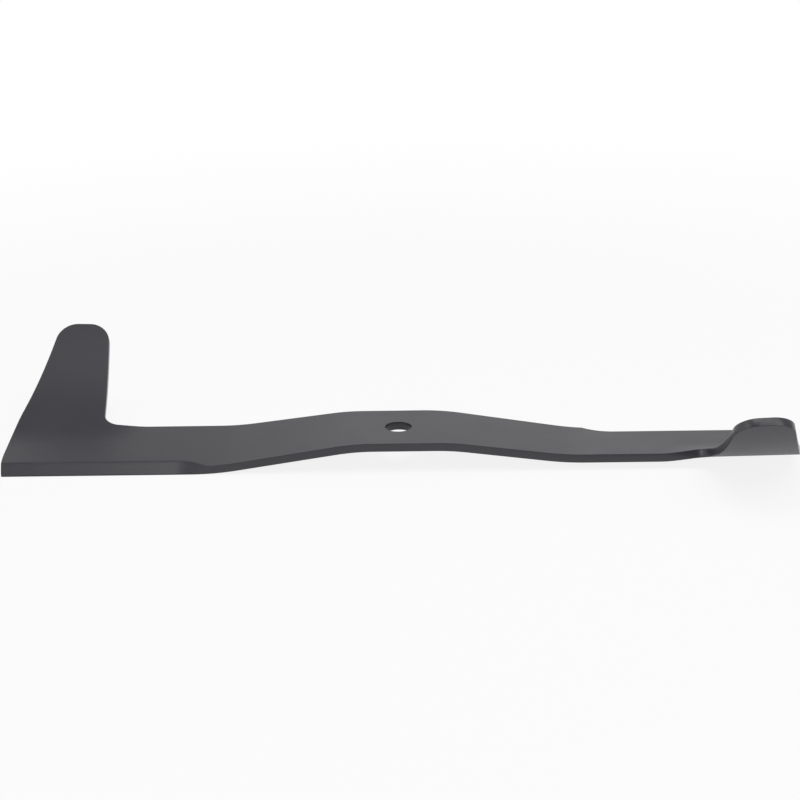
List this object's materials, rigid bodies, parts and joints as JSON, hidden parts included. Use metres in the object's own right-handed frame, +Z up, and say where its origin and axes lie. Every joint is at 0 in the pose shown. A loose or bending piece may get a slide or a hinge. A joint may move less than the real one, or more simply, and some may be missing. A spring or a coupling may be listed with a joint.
{
  "type": "rotary mower blade",
  "caption": "Pressed steel bar blade with a raised bored hub, ground cutting edges on its leading sides and tall upturned wings that lift the cut grass.",
  "frame": {"origin": "on the spindle axis, level with the undersides of the two cutting edges", "axes": "+X along the blade, +Y across it towards the cutting edge of the +X end, +Z up along the spindle axis; it turns counter-clockwise seen from above"},
  "size_m": [0.559, 0.2246, 0.0665],
  "materials": {
    "coated_steel": "thin satin dark grey coat over smooth pressed steel"
  },
  "bodies": {
    "root": {"blade": "coated_steel"}
  },
  "joints": []
}
